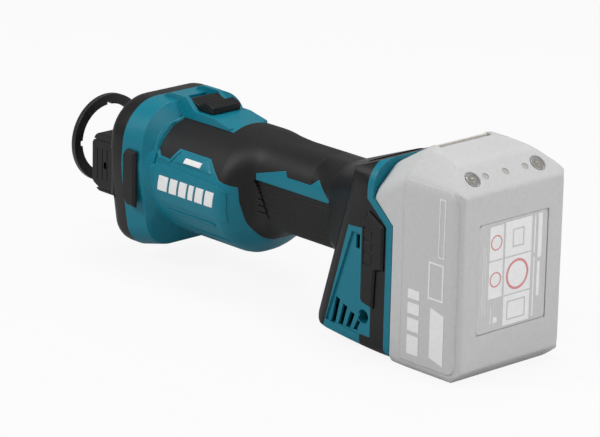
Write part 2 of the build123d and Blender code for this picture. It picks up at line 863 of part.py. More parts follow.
# Cam lever with its hub, on a pin in the bearing box.
with BuildPart() as cam_lever:
    with BuildSketch(Plane.XZ.offset(-lever_pin_y - 2.5)) as paddle:
        with BuildLine():
            Polyline(
                (side_block_front - 1, lever_low + 3),
                (side_block_front + 5, lever_low),
                (lever_pin_x, lever_low),
                (lever_pin_x, lever_high),
                (side_block_front - 1, lever_high),
                close=True,
            )
        make_face()
        fillet(paddle.vertices().group_by(Axis.X)[0], 3)
    extrude(amount=4.5)
    for groove in range(3):
        x = side_block_front + 3 + 4 * groove
        add(block((x, x + 0.7), (-40, lever_pin_y - 1.5), (-11, 6.5)), mode=Mode.SUBTRACT)
    with BuildSketch(Plane.XZ.offset(20)):
        with Locations((side_block_front + 9.5, -2.5)):
            SlotOverall(4.2, 2.2, rotation=90)
    extrude(amount=30, mode=Mode.SUBTRACT)
    with BuildSketch(Plane.XY.offset(lever_low)):
        with Locations((lever_pin_x, lever_pin_y)):
            Circle(hub_radius)
    extrude(amount=lever_high - lever_low)
    with BuildSketch(Plane.XY.offset(lever_low)):
        with Locations((lever_pin_x, lever_pin_y)):
            Circle(lever_pin_radius + running)
    extrude(amount=lever_high - lever_low, mode=Mode.SUBTRACT)
finish(cam_lever, "cam_lever")

with BuildPart() as lever_pin:
    with BuildSketch(Plane.XY.offset(lever_low - 1.6)):
        with Locations((lever_pin_x, lever_pin_y)):
            Circle(lever_pin_radius)
    extrude(amount=lever_high - lever_low + 6)
finish(lever_pin, "lever_pin")

# Spindle lock: a sprung button on the right with a steel pin that drops into the spindle.
button_inner = lock_floor + 5
with BuildPart() as lock_button:
    with BuildSketch(Plane.XZ.offset(-button_inner)):
        with Locations((lock_x, 0)):
            Circle(lock_button_radius)
    extrude(amount=-(flange_half_width + 1.5 - button_inner))
    fillet(lock_button.faces().sort_by(Axis.Y)[-1].edges(), 1.2)
    with BuildSketch(Plane.XZ.offset(-button_inner)):
        with Locations((lock_x, 0)):
            Circle(lock_pin_radius)
    extrude(amount=-4, mode=Mode.SUBTRACT)
finish(lock_button, "lock_button")

with BuildPart() as lock_pin:
    with BuildSketch(Plane.XZ.offset(-(nose_thread_radius + 0.4))):
        with Locations((lock_x, 0)):
            Circle(lock_pin_radius)
    extrude(amount=-(button_inner + 4 - nose_thread_radius - 0.4))
finish(lock_pin, "lock_pin")


def coil(radius, wire, length, turns):
    """A helical compression spring standing on the origin, along +Z."""
    with BuildPart() as spring:
        with BuildLine():
            Helix(pitch=(length - 2 * wire) / turns, height=length - 2 * wire, radius=radius)
        rise = (length - 2 * wire) / turns / (2 * pi)
        with BuildSketch(Plane(origin=(radius, 0, 0), z_dir=(0, radius, rise))):
            Circle(wire)
        sweep(is_frenet=True)
    return spring.part.moved(Location((0, 0, wire)))


with BuildPart() as lock_spring:
    wound = coil(4.2, 0.5, button_inner - lock_floor, 3.5)
    add(wound.moved(Location(Plane(origin=(lock_x, lock_floor, 0), x_dir=(1, 0, 0), z_dir=(0, 1, 0)))))
finish(lock_spring, "lock_spring")

# Collet: a slit cone with a shouldered nose, drawn back into the spindle by its nut.
taper_front = 7.2
taper_back = 5.0
shoulder_radius = 6.0
with BuildPart() as collet:
    with BuildSketch(Plane.XZ):
        with BuildLine():
            Polyline(
                (0, shank_radius),
                (0, shoulder_radius),
                (4, shoulder_radius),
                (6, taper_front),
                (collet_length, taper_back),
                (collet_length, shank_radius),
                close=True,
            )
        make_face()
    revolve(axis=Axis.X)
    for turn in (0, 90):
        with BuildPart(mode=Mode.PRIVATE) as slit:
            Box(2 * (collet_length - 5), 30, 0.8)
        add(slit.part.rotate(Axis.X, turn + 45), mode=Mode.SUBTRACT)
finish(collet, "collet")

with BuildPart() as collet_nut:
    with BuildSketch(Plane.YZ.offset(1)):
        RegularPolygon(nut_flats / 2, 6, major_radius=False)
    extrude(amount=17)
    with BuildSketch(Plane.XZ):
        with BuildLine():
            Polyline(
                (0, 0),
                (0, shoulder_radius + fitting),
                (4, shoulder_radius + fitting),
                (6.2, taper_front + 0.2),
                (8, nose_thread_radius),
                (19, nose_thread_radius),
                (19, 0),
                close=True,
            )
        make_face()
    revolve(axis=Axis.X, mode=Mode.SUBTRACT)
    chamfer(collet_nut.faces().sort_by(Axis.X)[0].outer_wire().edges(), 0.8)
finish(collet_nut, "collet_nut")

# Spindle and rotor shaft: threaded nose with the collet's taper, bearing seats, rotor seat.
rear_journal = 4.0
with BuildPart() as spindle:
    with BuildSketch(Plane.XZ):
        with BuildLine():
            Polyline(
                (8, 0),
                (8, nose_thread_radius - fitting),
                (bearing_front - 10, nose_thread_radius - fitting),
                (bearing_front - 10, spindle_nose_radius),
                (bearing_front, spindle_nose_radius),
                (bearing_front, spindle_radius),
                (board_front + 1, spindle_radius),
                (board_front + 1, rear_journal),
                (rear_bearing_back + 1, rear_journal),
                (rear_bearing_back + 1, 0),
                close=True,
            )
        make_face()
    revolve(axis=Axis.X)
    with BuildSketch(Plane.XZ):
        with BuildLine():
            Polyline(
                (7, 0),
                (7, taper_front),
                (collet_length, taper_back + fitting),
                (collet_length + 0.5, shank_radius + 0.4),
                (bearing_back, shank_radius + 0.4),
                (bearing_back, 0),
                close=True,
            )
        make_face()
    revolve(axis=Axis.X, mode=Mode.SUBTRACT)
    # Cross hole that the lock pin drops into, from either side.
    with BuildSketch(Plane.XZ):
        with Locations((lock_x, 0)):
            Circle(lock_pin_radius + 0.2)
    extrude(amount=2 * nose_thread_radius, both=True, mode=Mode.SUBTRACT)
finish(spindle, "spindle")

for name, start, width, outer, inner in (
    ("front_bearing", bearing_front, bearing_width, bearing_radius, spindle_radius),
    ("rear_bearing", rear_bearing_front, rear_bearing_width, rear_bearing_radius, rear_journal),
):
    with BuildPart() as bearing:
        add(tube(start, width, outer, inner + running))
        middle = (outer + inner) / 2
        shield = (outer - inner) * 0.22
        add(tube(start, 0.6, middle + shield, middle - shield), mode=Mode.SUBTRACT)
        add(tube(start + width - 0.6, 0.6, middle + shield, middle - shield), mode=Mode.SUBTRACT)
    finish(bearing, name)

with BuildPart() as bearing_sleeve:
    add(
        tube(
            rear_bearing_front, rear_bearing_width, rear_bearing_radius + sleeve_rubber, rear_bearing_radius
        )
    )
finish(bearing_sleeve, "bearing_sleeve")

# Cooling fan: a dished plate with blades on its front, pressed on the shaft.
with BuildPart() as fan:
    add(tube(fan_front, fan_width, spindle_radius + 4, spindle_radius))
    add(tube(fan_front + fan_width - 1.6, 1.6, fan_radius, spindle_radius))
    with BuildSketch(Plane.YZ.offset(fan_front)):
        with PolarLocations(fan_radius * 0.66, 11):
            Rectangle(fan_radius * 0.58, 1.4, rotation=28)
    extrude(amount=fan_width)
    add(tube(fan_front - 1, fan_width + 2, fan_radius + 20, fan_radius), mode=Mode.SUBTRACT)
finish(fan, "cooling_fan")

with BuildPart() as baffle_plate:
    add(tube(baffle_front, 1.2, bore_radius - fitting, fan_radius - 7))
    add(block((0, 200), (-4, 4), (rod_low - 1, 60)), mode=Mode.SUBTRACT)
finish(baffle_plate, "baffle_plate")

# Brushless motor: toothed stator stack, six coils, and the rotor stack with its magnet slots.
teeth = 6
back_iron = 4.5
rotor_bore = rotor_radius + air_gap
with BuildPart() as stator_core:
    with BuildSketch(Plane.YZ.offset(stator_front)):
        Circle(stator_radius)
        Circle(stator_radius - back_iron, mode=Mode.SUBTRACT)
        with PolarLocations((rotor_bore + stator_radius - back_iron) / 2 + 1, teeth):
            Rectangle(stator_radius - back_iron - rotor_bore + 2, 5)
        with PolarLocations(rotor_bore + 1.4, teeth):
            Rectangle(2.4, 11)
        Circle(rotor_bore, mode=Mode.SUBTRACT)
    extrude(amount=stator_length)
finish(stator_core, "stator_core")

with BuildPart() as stator_coils:
    coil_low = rotor_bore + 3.2
    coil_high = stator_radius - back_iron - 0.6
    with BuildSketch(Plane.YZ.offset(stator_front - coil_overhang)):
        with PolarLocations((coil_low + coil_high) / 2, teeth):
            Rectangle(coil_high - coil_low, 10)
    extrude(amount=stator_length + 2 * coil_overhang)
    with BuildSketch(Plane.YZ.offset(stator_front - 0.2)):
        with PolarLocations((coil_low + coil_high) / 2, teeth):
            Rectangle(coil_high - coil_low + 1, 5.2)
    extrude(amount=stator_length + 0.4, mode=Mode.SUBTRACT)
finish(stator_coils, "stator_coils")

with BuildPart() as rotor_core:
    add(tube(stator_front, stator_length, rotor_radius, spindle_radius))
    with BuildSketch(Plane.YZ.offset(stator_front)):
        with PolarLocations(rotor_radius - 3, 4):
            Rectangle(1.8, 11)
    extrude(amount=1.5, mode=Mode.SUBTRACT)
finish(rotor_core, "rotor_core")

with BuildPart() as sensor_board:
    add(tube(board_front, 1.6, stator_radius - 1, spindle_radius + 3))
    add(block((0, 200), (-8, 8), (-60, -16)), mode=Mode.SUBTRACT)
finish(sensor_board, "sensor_board")

# Motor leads: three bent tubes from the coils to the controller.
controller_front = grip_front + 6
lead_low, lead_high = -20.0, -6.0
with BuildPart() as motor_leads:
    for y in (-4, 0, 4):
        with BuildLine(Plane.XZ.offset(-y)) as route:
            FilletPolyline(
                (board_front + 2, lead_low),
                (barrel_back + 12, lead_low),
                (barrel_back + 26, lead_high),
                (controller_front, lead_high),
                radius=9,
            )
        with BuildSketch(Plane(origin=route.line @ 0, z_dir=route.line % 0)):
            Circle(1.3)
        sweep(path=route.line)
finish(motor_leads, "motor_leads")

# Switch: a knob that slides forward between the guards, its link rod, and the switch body in the grip.
knob_floor = deck_level + sliding
switch_front = grip_front - 2
with BuildPart() as switch_knob:
    with BuildSketch(Plane.XZ) as profile:
        with BuildLine():
            Polyline(
                (knob_front, knob_floor),
                (knob_front, knob_floor + 4.6),
                (knob_front + 2.4, knob_floor + 5.2),
                (knob_front + 9, knob_floor + 2.6),
                (knob_front + 14.5, knob_floor + 5.4),
                (knob_back - 2.5, knob_floor + 4.6),
                (knob_back, knob_floor + 3.4),
                (knob_back, knob_floor),
                close=True,
            )
        make_face()
    extrude(amount=guard_gap - sliding, both=True)
    for ridge in range(5):
        x = knob_front + 10.2 + 1.75 * ridge
        groove_floor = knob_floor + 3.4 + 0.55 * min(ridge, 2)
        add(block((x, x + 0.6), (-20, 20), (groove_floor, 60)), mode=Mode.SUBTRACT)
    add(block((stem_front, stem_back), (-3, 3), (rod_high, knob_floor)))
finish(switch_knob, "switch_knob")

spring_seat = rear_bearing_front + 5
spring_tab = spring_seat + 13
with BuildPart() as switch_rod:
    add(block((stem_front - 2, switch_front + 8), (-3, 3), (rod_low, rod_high)))
    add(block((switch_front + 5, switch_front + 8), (-3, 3), (rod_low - 5, rod_low)))
    add(block((spring_tab, spring_tab + 2), (-3, 3), (rod_low - 5, rod_low)))
finish(switch_rod, "switch_rod")

switch_top = rod_low - 1.2
with BuildPart() as switch_body:
    add(block((switch_front + 10, switch_front + 34), (-8, 8), (11, switch_top)))
    add(block((switch_front, switch_front + 10), (-8, 8), (11, switch_top - 5)))
    fillet(switch_body.edges().filter_by(Axis.X), 0.8)
finish(switch_body, "switch_body")

with BuildPart() as switch_spring:
    wound = coil(1.7, 0.35, spring_tab - spring_seat, 6)
    rod_spring_plane = Plane(origin=(spring_seat, 0, rod_low - 2.6), x_dir=(0, 1, 0), z_dir=(1, 0, 0))
    add(wound.moved(Location(rod_spring_plane)))
finish(switch_spring, "switch_spring")

# Controller in its open tray, and the terminal block with its blades.
with BuildPart() as controller:
    add(block((controller_front, grip_back + 2), (-13, 13), (-9, 8)))
    fillet(controller.edges().filter_by(Axis.X), 2)
finish(controller, "controller")

terminal_z = (-24.0, 2.0)
with BuildPart() as terminal_block:
    add(block((channel_floor - 12, channel_floor), (-18.8, 18.8), (terminal_z[0] - 1.8, terminal_z[1] + 1.8)))
    for y in (-15, 15):
        add(block((channel_floor - 8, channel_floor), (y - 0.6, y + 0.6), terminal_z), mode=Mode.SUBTRACT)
finish(terminal_block, "terminal_block")

with BuildPart() as contact_blades:
    for y in (-15, 15):
        add(block((channel_floor - 8, channel_floor + 8), (y - 0.6, y + 0.6), terminal_z))
finish(contact_blades, "contact_blades")

# Filter covers: chamfered plates that clip into the sides just ahead of the battery.
with BuildPart() as filter_cover_left:
    with BuildSketch(Plane.XZ.offset(rear_half_width - cover_seat)) as plate:
        with BuildLine():
            Polyline(*cover_outline, close=True)
        make_face()
        offset(amount=-0.25)
    extrude(amount=cover_seat + 1.6)
    chamfer(filter_cover_left.faces().sort_by(Axis.Y)[0].edges(), 1.0)
    add(
        block((battery_plane - 19, battery_plane - 12.5), (-60, -rear_half_width - 1.1), (-4.5, 15.5)),
        mode=Mode.SUBTRACT,
    )
    for rung in range(3):
        z = -2.8 + 6.4 * rung
        add(
            block(
                (battery_plane - 18.4, battery_plane - 13.1),
                (-rear_half_width - 1.5, -rear_half_width - 1.1),
                (z, z + 4),
            )
        )
both_sides(filter_cover_left, "filter_cover_left", "filter_cover_right")


# Battery: a case of rounded six-cornered section with shoulders, and a neck that reaches over the tool.
def battery_section(x, half_width, shoulder, plateau, top, inset=0.0):
    """Section of the pack at station x, with its shoulders sloping up to a flat top."""
    with BuildSketch(Plane.YZ.offset(x)) as section:
        with BuildLine():
            Polyline(
                (-half_width, battery_bottom), (half_width, battery_bottom), (half_width, shoulder),
                (plateau, top), (-plateau, top), (-half_width, shoulder), close=True,
            )
        make_face()
        sides = section.vertices().filter_by(lambda v: abs(v.Y - shoulder) < 0.01)
        fillet(sides, 11)
        fillet(section.vertices().group_by(Axis.Y)[0], 6)
        fillet(section.vertices().group_by(Axis.Y)[-1], 10)
        if inset:
            offset(amount=-inset)
    return section.sketch


battery_half = battery_width / 2
shoulder_z = battery_top - 13.5
crest_x = battery_plane + 9
chamfer_run = 15.0
chamfer_foot = battery_top - 16
chamfer_crest = battery_top - 3.4
rear_edge_rounding = 6.0
crown_rounding = 12.0
neck_x = battery_plane - neck_depth + 0.4


def battery_form(inset=0.0):
    """The whole pack's outer form, drawn inset."""
    plateau = battery_half - 14.5
    rear = battery_section(battery_back + 5, battery_half, shoulder_z, plateau, battery_top, inset)
    crest = battery_section(crest_x, battery_half, shoulder_z, plateau, battery_top, inset)
    front = battery_section(neck_x - 1, battery_half - 1.5, neck_height + 2.3, 21, rear_top - 3, inset)
    with BuildPart() as form:
        loft([front, crest], ruled=True)
        loft([crest, rear], ruled=True)
        with BuildSketch(Plane.XZ) as side:
            with BuildLine():
                Polyline(
                    (battery_plane + 0.4, battery_bottom + 1.4),
                    (battery_plane + 3, battery_bottom),
                    (battery_back - 8, battery_bottom),
                    (battery_back, battery_bottom + 7),
                    (battery_back, chamfer_foot),
                    (battery_back - chamfer_run, chamfer_crest),
                    (crest_x + 2, battery_top),
                    (neck_x, battery_top),
                    (neck_x, neck_height),
                    (battery_plane + 0.4, neck_corner),
                    close=True,
                )
            make_face()
            rounded = side.vertices().filter_by(lambda v: abs(v.X - battery_back) < 0.01)
            fillet(rounded, 4.5)
            crown = side.vertices().filter_by(lambda v: abs(v.Y - chamfer_crest) < 0.01)
            fillet(crown, crown_rounding)
            if inset:
                offset(amount=-inset, kind=Kind.INTERSECTION)
        extrude(amount=60, both=True, mode=Mode.INTERSECT)
        # Upright rear edges, rounded from a footprint that stands a hair outside the flats.
        with BuildSketch(Plane.XY.offset(battery_bottom - 10)) as footprint:
            half = battery_half + 0.2 - inset
            back = battery_back + 0.2 - inset
            with BuildLine():
                Polyline((0, -half), (back, -half), (back, half), (0, half), close=True)
            make_face()
            fillet(footprint.vertices().group_by(Axis.X)[-1], rear_edge_rounding - inset)
        extrude(amount=battery_height + 20, mode=Mode.INTERSECT)
    return form.part


pack_form = battery_form()
pack_hollow = battery_form(battery_wall)
part_line = battery_plane + 8
button_half = 18.0
button_low = 36.0
button_ledge = button_low + 10
button_foot_back = battery_plane + 1.2
button_head_back = battery_plane + 10.2
button_travel = 2.5
notch_room = button_travel + 0.5


def button_room(grown, room):
    """The two-step space that holds the release button: a foot below and a longer head above."""
    half = button_half + sliding + grown
    with BuildPart() as space:
        add(block((neck_x - 10, button_foot_back + room), (-half, half), (button_low - grown, 90)))
        add(block((neck_x - 10, button_head_back + room), (-half, half), (button_ledge - grown, 90)))
    return space.part


notch = button_room(0, notch_room)
notch_wall = button_room(battery_wall, notch_room + battery_wall)
head_front = battery_plane - channel_depth
head_foot = channel_foot + 1
recess_direction = Vector(chamfer_crest - chamfer_foot, 0, chamfer_run).normalized()
chamfer_middle = Vector(battery_back - chamfer_run / 2, 0, (chamfer_foot + chamfer_crest) / 2)
light_places = (-14, 0, 14)
case_screw_places = (-23, 23)


def chamfer_cylinders(places, radius, depth, height):
    """Cylinders square to the pack's rear chamfer, at places across its width."""
    with BuildPart() as cylinders:
        for y in places:
            start = chamfer_middle + Vector(0, y, 0) - recess_direction * depth
            with BuildSketch(Plane(origin=start, z_dir=recess_direction)):
                Circle(radius)
            extrude(amount=height)
    return cylinders.part


with BuildPart() as battery_cover:
    add(pack_form & block((-100, part_line), (-80, 80), (-120, 120)))
    rail_z = (head_foot, neck_corner + 4)
    add(block((head_front, battery_plane - rail_neck), (-rail_half_width, rail_half_width), rail_z))
    add(block((head_front, battery_plane + 1), (-rail_neck_half_width, rail_neck_half_width), rail_z))
    inner = pack_hollow & block((battery_plane + battery_wall, 400), (-80, 80), (-120, 120))
    add(inner - notch_wall, mode=Mode.SUBTRACT)
    add(notch, mode=Mode.SUBTRACT)
    add(block((head_front + 2, battery_plane + 5), (-22, 22), (-40, 14)), mode=Mode.SUBTRACT)
    for y in (-15, 15):
        add(block((head_front - 1, channel_floor + 9), (y - 1.4, y + 1.4), (-60, 3)), mode=Mode.SUBTRACT)
finish(battery_cover, "battery_cover")

label_low = -28.4
label_high = 28.8
label_half = 24.6
with BuildPart() as battery_case:
    add(pack_form & block((part_line, 400), (-80, 80), (-120, 120)))
    add(pack_hollow - notch_wall, mode=Mode.SUBTRACT)
    add(notch, mode=Mode.SUBTRACT)
    add(
        block((battery_back - label_depth, 400), (-label_half, label_half), (label_low, label_high)),
        mode=Mode.SUBTRACT,
    )
    add(chamfer_cylinders(case_screw_places, 4.6, 1.4, 20), mode=Mode.SUBTRACT)
    add(chamfer_cylinders(light_places, 1.9, 5, 20), mode=Mode.SUBTRACT)
finish(battery_case, "battery_case")

with BuildPart() as battery_screws:
    add(chamfer_cylinders(case_screw_places, 3.4, 1.4, 1.0))
    for y in case_screw_places:
        start = chamfer_middle + Vector(0, y, 0) - recess_direction * 0.9
        with BuildSketch(Plane(origin=start, z_dir=recess_direction)):
            RegularPolygon(1.3, 6)
        extrude(amount=3, mode=Mode.SUBTRACT)
finish(battery_screws, "battery_screws")

with BuildPart() as charge_lights:
    add(chamfer_cylinders(light_places, 1.9, 3, 2.6))
finish(charge_lights, "charge_lights")

with BuildPart() as rating_plate:
    add(
        block(
            (battery_back - label_depth, battery_back - label_depth + 0.5),
            (0.3 - label_half, label_half - 0.3),
            (label_low + 0.3, label_high - 0.3),
        )
    )
    fillet(rating_plate.edges().filter_by(Axis.X), 2.5)
finish(rating_plate, "rating_plate")

button_front = block((neck_x + sliding, 400), (-80, 80), (-80, 80))
with BuildPart() as battery_button:
    add(battery_form(0.3))
    add(button_room(-sliding, 0) & button_front, mode=Mode.INTERSECT)
finish(battery_button, "battery_button")

with BuildPart() as button_spring:
    wound = coil(3, 0.4, notch_room, 2.5)
    spring_plane = Plane(origin=(button_foot_back, 0, button_low + 5), x_dir=(0, 1, 0), z_dir=(1, 0, 0))
    add(wound.moved(Location(spring_plane)))
finish(button_spring, "button_spring")

cell_radius = 9.1
cell_pitch = 18.6
with BuildPart() as battery_cells:
    with BuildSketch(Plane.XZ.offset(-32.5)):
        for column in range(2):
            for row in range(5):
                with Locations(
                    (
                        battery_back - battery_wall - cell_radius - 0.6 - column * cell_pitch,
                        battery_bottom + battery_wall + cell_radius + 0.6 + row * cell_pitch,
                    )
                ):
                    Circle(cell_radius)
    extrude(amount=65)
finish(battery_cells, "battery_cells")

board_x = battery_plane - 2.4
with BuildPart() as battery_board:
    add(block((board_x, board_x + 1.6), (-21, 21), (-38, 12)))
finish(battery_board, "battery_board")

with BuildPart() as contact_clips:
    for y in (-15, 15):
        add(block((board_x - 1, board_x), (y - 1.7, y + 1.7), (-14, -8)))
        add(block((channel_floor + 3.5, board_x), (y - 1.7, y - 0.9), (-14, -8)))
        add(block((channel_floor + 3.5, board_x), (y + 0.9, y + 1.7), (-14, -8)))
finish(contact_clips, "contact_clips")
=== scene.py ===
"""Cordless drywall cut-out tool: the looks of its casing, grip, collet nose, depth guide and battery."""

import json
from math import cos, radians, sin

import bmesh
import bpy
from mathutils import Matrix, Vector
from mathutils.bvhtree import BVHTree


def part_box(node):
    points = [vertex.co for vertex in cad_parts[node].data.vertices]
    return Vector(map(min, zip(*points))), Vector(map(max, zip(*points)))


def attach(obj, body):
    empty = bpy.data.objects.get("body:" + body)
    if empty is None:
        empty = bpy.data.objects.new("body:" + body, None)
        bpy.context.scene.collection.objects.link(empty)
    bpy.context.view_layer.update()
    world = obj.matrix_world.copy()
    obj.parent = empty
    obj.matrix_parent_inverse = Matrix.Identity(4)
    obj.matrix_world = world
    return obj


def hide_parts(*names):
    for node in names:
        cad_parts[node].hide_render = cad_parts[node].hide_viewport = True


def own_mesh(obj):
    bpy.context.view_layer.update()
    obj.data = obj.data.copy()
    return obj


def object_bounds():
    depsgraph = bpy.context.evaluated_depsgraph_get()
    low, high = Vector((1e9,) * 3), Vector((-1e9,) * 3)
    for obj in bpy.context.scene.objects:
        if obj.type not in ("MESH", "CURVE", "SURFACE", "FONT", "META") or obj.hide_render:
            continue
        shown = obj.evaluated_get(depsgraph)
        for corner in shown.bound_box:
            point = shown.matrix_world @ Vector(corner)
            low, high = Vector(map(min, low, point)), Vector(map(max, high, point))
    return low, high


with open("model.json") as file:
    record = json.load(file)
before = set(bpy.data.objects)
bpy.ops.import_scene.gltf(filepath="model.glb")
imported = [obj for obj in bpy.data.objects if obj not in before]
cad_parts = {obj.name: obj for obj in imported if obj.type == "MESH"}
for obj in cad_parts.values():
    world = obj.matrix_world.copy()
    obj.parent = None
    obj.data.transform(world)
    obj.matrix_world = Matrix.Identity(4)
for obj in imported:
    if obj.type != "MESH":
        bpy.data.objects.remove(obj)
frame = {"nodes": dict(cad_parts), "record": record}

cad_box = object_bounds()

# Stage: a wide white sweep under the tool, a softly lit room and three large soft lights.
# The camera stands well back on the tool's rear left, a little above it, with a long lens.
floor_level = cad_box[0][2]
camera_turn = radians(46.63)
camera_rise = radians(17.3)
camera_roll = radians(1.28)
camera_distance = 1.930
aim = Vector((0.12607, 0, -0.0094))

floor_mesh = bpy.data.meshes.new("floor")
floor_reach = 6.0
floor_mesh.from_pydata(
    [(x * floor_reach, y * floor_reach, floor_level) for x, y in ((-1, -1), (1, -1), (1, 1), (-1, 1))],
    [],
    [(0, 1, 2, 3)],
)
floor = bpy.data.objects.new("floor", floor_mesh)
bpy.context.collection.objects.link(floor)
floor_paint = bpy.data.materials.new("floor_paint")
floor_paint.use_nodes = True
paint = floor_paint.node_tree
matte = paint.nodes["Principled BSDF"]
matte.inputs["Base Color"].default_value = (0.62, 0.62, 0.62, 1)
matte.inputs["Roughness"].default_value = 0.9
glow = paint.nodes.new("ShaderNodeEmission")
glow.inputs["Strength"].default_value = 1.0
seen = paint.nodes.new("ShaderNodeLightPath")
whiten = paint.nodes.new("ShaderNodeMath")
whiten.operation = "MULTIPLY"
whiten.inputs[1].default_value = 0.9
paint.links.new(seen.outputs["Is Camera Ray"], whiten.inputs[0])
blend = paint.nodes.new("ShaderNodeMixShader")
paint.links.new(whiten.outputs["Value"], blend.inputs["Fac"])
paint.links.new(matte.outputs["BSDF"], blend.inputs[1])
paint.links.new(glow.outputs["Emission"], blend.inputs[2])
paint.links.new(blend.outputs["Shader"], paint.nodes["Material Output"].inputs["Surface"])
floor_mesh.materials.append(floor_paint)

room = bpy.data.worlds.new("room")
bpy.context.scene.world = room
room.use_nodes = True
backdrop = room.node_tree.nodes["Background"]
backdrop.inputs["Color"].default_value = (1.0, 1.0, 1.0, 1)
room_light = room.node_tree.nodes.new("ShaderNodeMapRange")
room_light.inputs["To Min"].default_value = 0.30
room_light.inputs["To Max"].default_value = 1.0
seen = room.node_tree.nodes.new("ShaderNodeLightPath")
room.node_tree.links.new(seen.outputs["Is Camera Ray"], room_light.inputs["Value"])
room.node_tree.links.new(room_light.outputs["Result"], backdrop.inputs["Strength"])
bpy.context.scene.view_settings.view_transform = "Standard"

for name, place, size, power in (
    ("key_light", (-0.35, -0.95, 0.85), 0.45, 9.0),
    ("top_light", (0.20, 0.25, 1.25), 0.7, 8.5),
    ("rear_light", (1.15, 0.15, 0.40), 0.7, 4.2),
):
    lamp = bpy.data.lights.new(name, "AREA")
    lamp.size = size
    lamp.energy = power
    lamp_object = bpy.data.objects.new(name, lamp)
    lamp_object.location = place
    lamp_object.rotation_euler = (aim - Vector(place)).to_track_quat("-Z", "Y").to_euler()
    bpy.context.collection.objects.link(lamp_object)

camera_data = bpy.data.cameras.new("camera")
camera_data.sensor_width = 36
camera_data.lens = 220.88
camera_data.clip_end = 20
camera = bpy.data.objects.new("camera", camera_data)
bpy.context.collection.objects.link(camera)
back = Vector(
    (
        sin(camera_turn) * cos(camera_rise),
        -cos(camera_turn) * cos(camera_rise),
        sin(camera_rise),
    )
)
camera.location = aim + back * camera_distance
aiming = (-back).to_track_quat("-Z", "Y").to_matrix()
across, upward = aiming.col[0].copy(), aiming.col[1].copy()
aiming.col[0] = across * cos(camera_roll) + upward * sin(camera_roll)
aiming.col[1] = upward * cos(camera_roll) - across * sin(camera_roll)
camera.rotation_euler = aiming.to_euler()
bpy.context.scene.camera = camera


# Casing halves: two glass-filled nylon mouldings, teal with a fine satin grain, screwed together
# along the tool's middle plane. Their edges are painted lighter, partly as rubbed wear and partly as a
# painted highlight, and their flats are faintly mottled.
def new_group(name, inputs, outputs):
    """A shader node group with its value inputs and defaults, and outputs given by socket type."""
    tree = bpy.data.node_groups.new(name, "ShaderNodeTree")
    for socket, default in inputs.items():
        item = tree.interface.new_socket(socket, in_out="INPUT", socket_type="NodeSocketFloat")
        item.default_value = default
    for socket, kind in outputs.items():
        tree.interface.new_socket(socket, in_out="OUTPUT", socket_type=kind)
    return tree, tree.nodes.new("NodeGroupInput"), tree.nodes.new("NodeGroupOutput")


def texture(tree, kind, coordinates, **inputs):
    """A texture node that reads the given coordinates, with its named inputs set."""
    node = tree.nodes.new(kind)
    tree.links.new(coordinates, node.inputs["Vector"])
    for socket, value in inputs.items():
        node.inputs[socket.replace("_", " ")].default_value = value
    return node


def arithmetic(tree, operation, first, second):
    """A Math node on two values, each a number or another node's socket."""
    node = tree.nodes.new("ShaderNodeMath")
    node.operation = operation
    for socket, value in zip(node.inputs, (first, second)):
        if isinstance(value, (int, float)):
            socket.default_value = value
        else:
            tree.links.new(value, socket)
    return node.outputs["Value"]


def edge_group():
    """Rounded-edge normals, and a broken mask of the edges, for rubbed wear and a painted edge highlight."""
    tree, given, result = new_group(
        "edge_wear_and_highlight", {"Radius": 0.0006}, {"Normal": "NodeSocketVector", "Wear_and_highlight": "NodeSocketFloat"}
    )
    rounded = tree.nodes.new("ShaderNodeBevel")
    rounded.samples = 6
    tree.links.new(given.outputs["Radius"], rounded.inputs["Radius"])
    geometry = tree.nodes.new("ShaderNodeNewGeometry")
    likeness = tree.nodes.new("ShaderNodeVectorMath")
    likeness.operation = "DOT_PRODUCT"
    tree.links.new(rounded.outputs["Normal"], likeness.inputs[0])
    tree.links.new(geometry.outputs["Normal"], likeness.inputs[1])
    # This edge mask lightens the edges: partly rubbed wear, partly a painted highlight.
    sharpness = arithmetic(tree, "SUBTRACT", 1.0, likeness.outputs["Value"])
    place = tree.nodes.new("ShaderNodeTexCoord")
    breakup = texture(tree, "ShaderNodeTexNoise", place.outputs["Object"], Scale=160.0, Detail=3.0)
    keen = arithmetic(tree, "MULTIPLY", sharpness, 6.0)
    broken = arithmetic(tree, "MULTIPLY", keen, breakup.outputs["Fac"])
    held = arithmetic(tree, "MINIMUM", broken, 1.0)
    tree.links.new(rounded.outputs["Normal"], result.inputs["Normal"])
    tree.links.new(held, result.inputs["Wear_and_highlight"])
    return tree


def grain_group():
    """Moulded grain: fine pits over slow waves, with a mottle for colour and a smear for gloss."""
    tree, given, result = new_group(
        "moulded_grain",
        {"Scale": 1800.0, "Pits": 0.6},
        {"Height": "NodeSocketFloat", "Mottle": "NodeSocketFloat", "Smear": "NodeSocketFloat"},
    )
    place = tree.nodes.new("ShaderNodeTexCoord").outputs["Object"]
    pits = texture(tree, "ShaderNodeTexVoronoi", place)
    tree.links.new(given.outputs["Scale"], pits.inputs["Scale"])
    fine = texture(tree, "ShaderNodeTexNoise", place, Detail=2.0)
    tree.links.new(arithmetic(tree, "MULTIPLY", given.outputs["Scale"], 0.7), fine.inputs["Scale"])
    pitted = arithmetic(tree, "MULTIPLY", pits.outputs["Distance"], given.outputs["Pits"])
    height = arithmetic(tree, "ADD", pitted, fine.outputs["Fac"])
    tree.links.new(height, result.inputs["Height"])
    mottle = texture(tree, "ShaderNodeTexNoise", place, Scale=420.0, Detail=4.0)
    tree.links.new(mottle.outputs["Fac"], result.inputs["Mottle"])
    smear = texture(tree, "ShaderNodeTexNoise", place, Scale=38.0, Detail=5.0, Distortion=0.6)
    tree.links.new(smear.outputs["Fac"], result.inputs["Smear"])
    return tree


edge_wear_and_highlight = edge_group()
moulded_grain = grain_group()


def placed_group(tree, group, **inputs):
    """A shader group placed in a material's tree, with its inputs set."""
    node = tree.nodes.new("ShaderNodeGroup")
    node.node_tree = group
    for socket, value in inputs.items():
        node.inputs[socket].default_value = value
    return node


